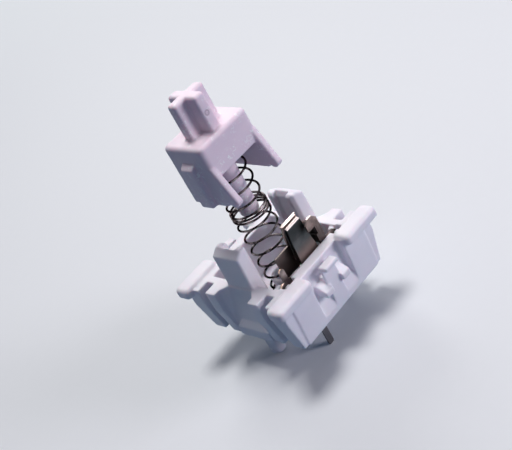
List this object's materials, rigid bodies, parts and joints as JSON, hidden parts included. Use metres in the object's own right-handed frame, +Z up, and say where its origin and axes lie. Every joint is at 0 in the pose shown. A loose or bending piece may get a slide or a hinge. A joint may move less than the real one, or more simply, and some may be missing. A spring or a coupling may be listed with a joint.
{
  "type": "keyboard switch",
  "caption": "Mechanical keyboard switch, opened: base with clip mounts and contacts, a return spring and a cross-topped stem raised on it.",
  "frame": {"origin": "on the axis of the centre post, in the plane of the circuit board that the base stands on", "axes": "+Z up the stem's travel, away from the board; the contacts are at the front, -Y; +X to the right"},
  "size_m": [0.0156, 0.0156, 0.028],
  "materials": {
    "housing_plastic": "moulded white nylon with a faint lavender tint, satin",
    "stem_plastic": "moulded acetal, pale pinkish lilac, satin",
    "spring_steel": "drawn spring wire, bright",
    "terminal_brass": "stamped sheet, dulled plating with bright cut edges",
    "leaf_metal": "thin rolled strip, dull",
    "contact_metal": "gold coloured contact bars, smooth"
  },
  "bodies": {
    "base": {"base_housing": "housing_plastic", "front_terminal": "terminal_brass", "side_terminal": "terminal_brass", "fixed_contact_point": "contact_metal", "return_spring": "spring_steel"},
    "stem": {"stem": "stem_plastic"},
    "leaf": {"contact_leaf": "leaf_metal", "leaf_contact_point": "contact_metal"}
  },
  "joints": [
    {"name": "stem_slide", "type": "slide", "parent": "base", "child": "stem", "axis": [0, 0, 1], "range_m": [-0.0132, 0], "stiffness_N_per_m": 40, "deforming": ["return_spring"]},
    {"name": "leaf_bend", "type": "hinge", "parent": "base", "child": "leaf", "pos_m": [0, -0.00448, 0.0046], "axis": [1, 0, 0], "range_deg": [0, 3], "stiffness_Nm_per_rad": 0.009}
  ]
}
